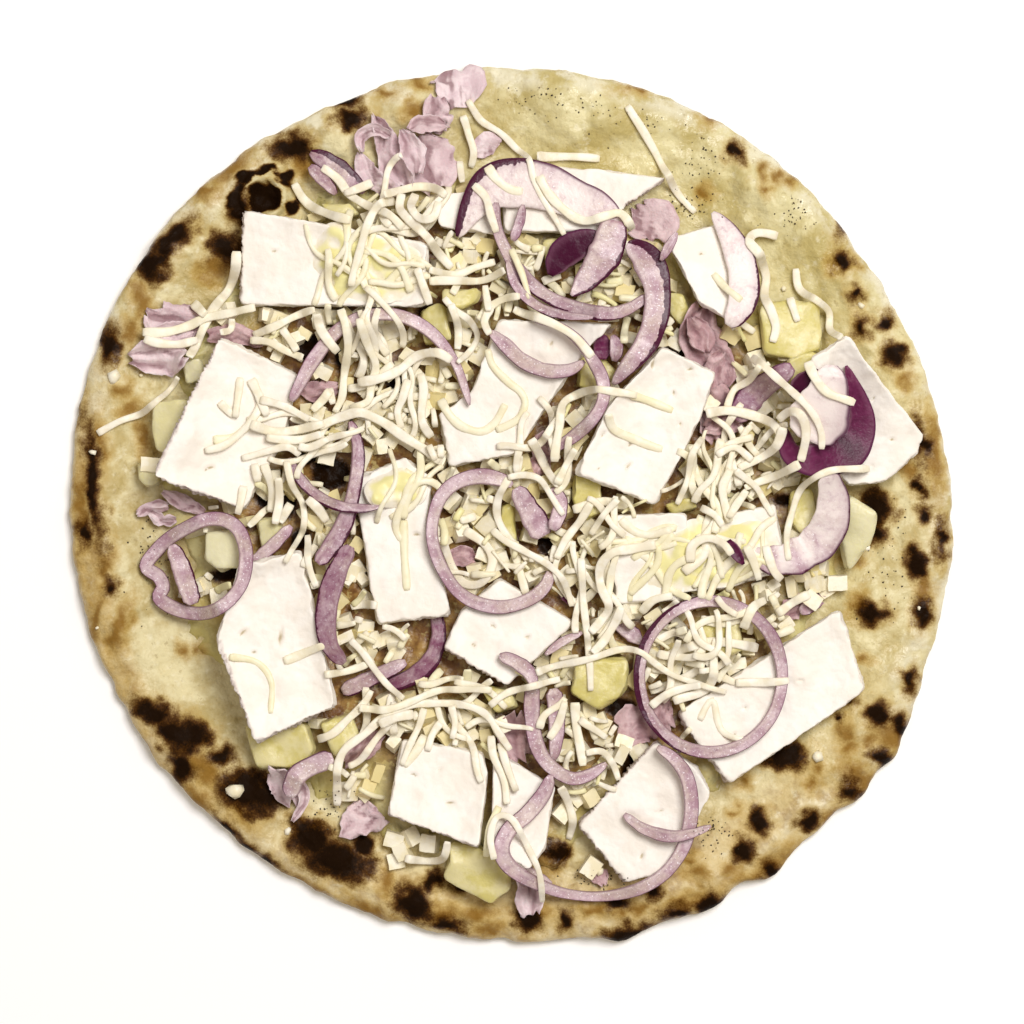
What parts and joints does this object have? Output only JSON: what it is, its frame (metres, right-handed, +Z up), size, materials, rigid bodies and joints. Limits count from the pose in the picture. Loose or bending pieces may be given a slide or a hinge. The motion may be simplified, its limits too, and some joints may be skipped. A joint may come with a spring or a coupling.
{
  "type": "camembert pizza",
  "caption": "Thin round pizza on browned dough, topped with thick camembert slices, red onion, ham, potato, diced cheese and grated cheese strands.",
  "frame": {"origin": "centre of the flat underside of the dough", "axes": "+Z up out of the toppings; +Y is the top of the picture and +X its right"},
  "size_m": [0.319, 0.3157, 0.0309],
  "materials": {
    "dough": "baked dough, olive beige, matt, with charred spots",
    "cheese": "cream diced and grated cheese, half melted, soft gloss",
    "camembert": "white soft cheese paste with a pale bloomy rind on its narrow edges",
    "potato": "boiled potato, pale yellow, moist",
    "ham": "cooked ham, dusky pink, moist",
    "onion": "red onion, lilac flesh with a dark purple skin line, moist gloss"
  },
  "bodies": {
    "root": {"camembert_1": "camembert", "camembert_10": "camembert", "camembert_11": "camembert", "camembert_12": "camembert", "camembert_13": "camembert", "camembert_14": "camembert", "camembert_15": "camembert", "camembert_16": "camembert", "camembert_17": "camembert", "camembert_2": "camembert", "camembert_3": "camembert", "camembert_4": "camembert", "camembert_5": "camembert", "camembert_6": "camembert", "camembert_7": "camembert", "camembert_8": "camembert", "camembert_9": "camembert", "cheese_heap": "cheese", "crust": "dough", "ham_1": "ham", "ham_10": "ham", "ham_11": "ham", "ham_2": "ham", "ham_3": "ham", "ham_4": "ham", "ham_5": "ham", "ham_6": "ham", "ham_7": "ham", "ham_8": "ham", "ham_9": "ham", "onion_centre_piece": "onion", "onion_centre_ring": "onion", "onion_hook": "onion", "onion_left_arc": "onion", "onion_left_bar": "onion", "onion_left_curve": "onion", "onion_left_ring": "onion", "onion_left_strap": "onion", "onion_low_ring": "onion", "onion_low_strap": "onion", "onion_low_tail": "onion", "onion_middle_oval": "onion", "onion_right_arc": "onion", "onion_right_crescent": "onion", "onion_right_petal": "onion", "onion_right_ring": "onion", "onion_top_arc": "onion", "onion_top_band": "onion", "onion_top_limb": "onion", "onion_top_slice": "onion", "potato_1": "potato", "potato_10": "potato", "potato_2": "potato", "potato_3": "potato", "potato_4": "potato", "potato_5": "potato", "potato_6": "potato", "potato_7": "potato", "potato_8": "potato", "potato_9": "potato"}
  },
  "joints": []
}
